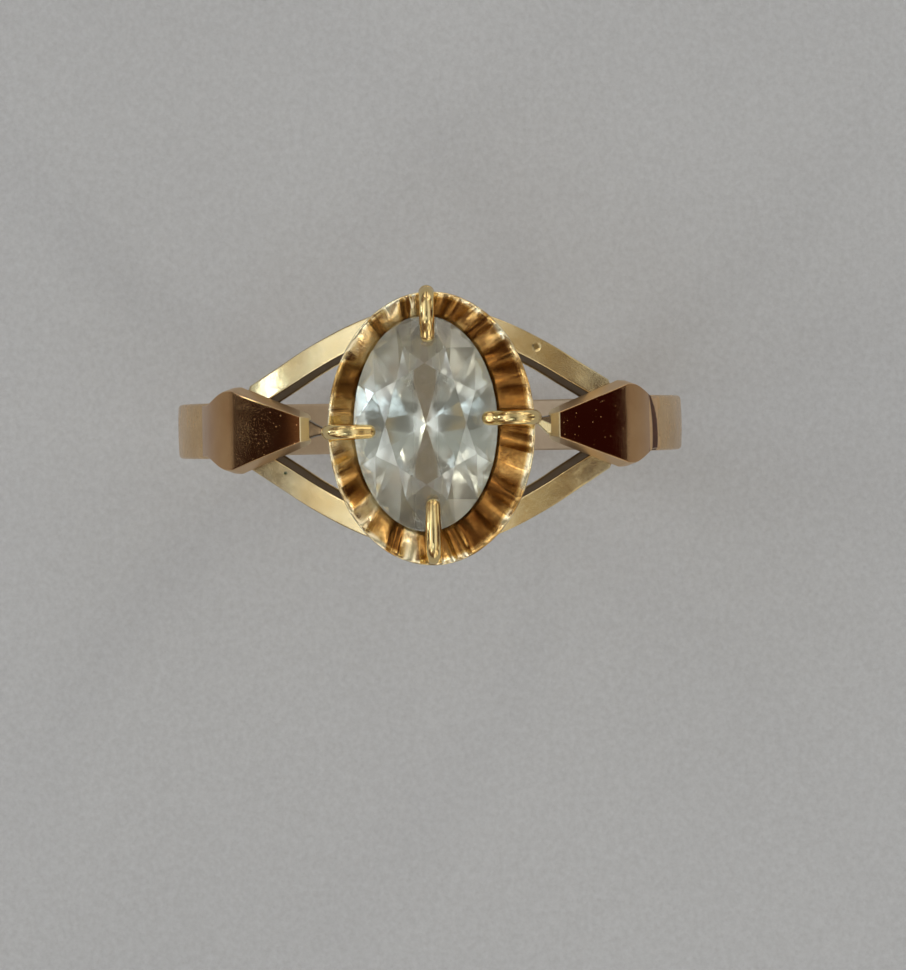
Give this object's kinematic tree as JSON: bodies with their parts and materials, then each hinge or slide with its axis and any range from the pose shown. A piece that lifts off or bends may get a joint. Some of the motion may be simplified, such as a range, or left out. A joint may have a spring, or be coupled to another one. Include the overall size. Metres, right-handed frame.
{
  "type": "ring",
  "caption": "Split-shank dress ring with an oval faceted stone held by claws in a flared, fluted collar, and a wedge plate on each shoulder.",
  "frame": {"origin": "centre of the finger hole, on its axis and halfway along it", "axes": "+Y along the finger, parallel to the stone's length; +Z from the finger up through the stone's table; X across the finger, so the two wedge shoulders lie at -X and +X"},
  "size_m": [0.0192, 0.0097, 0.0219],
  "materials": {
    "rose_gold": "polished reddish gold with fine scratches",
    "yellow_gold": "polished yellow gold",
    "gemstone": "faceted and polished, nearly colourless"
  },
  "bodies": {
    "root": {"shank": "rose_gold", "left_shoulder": "rose_gold", "right_shoulder": "rose_gold", "left_rear_arm": "yellow_gold", "left_front_arm": "yellow_gold", "right_rear_arm": "yellow_gold", "right_front_arm": "yellow_gold", "left_shoulder_pin": "yellow_gold", "right_shoulder_pin": "yellow_gold", "gallery_rail": "yellow_gold", "collet": "yellow_gold", "fluted_collar": "yellow_gold", "left_claw": "yellow_gold", "right_claw": "yellow_gold", "rear_claw": "yellow_gold", "front_claw": "yellow_gold", "stone": "gemstone"}
  },
  "joints": []
}
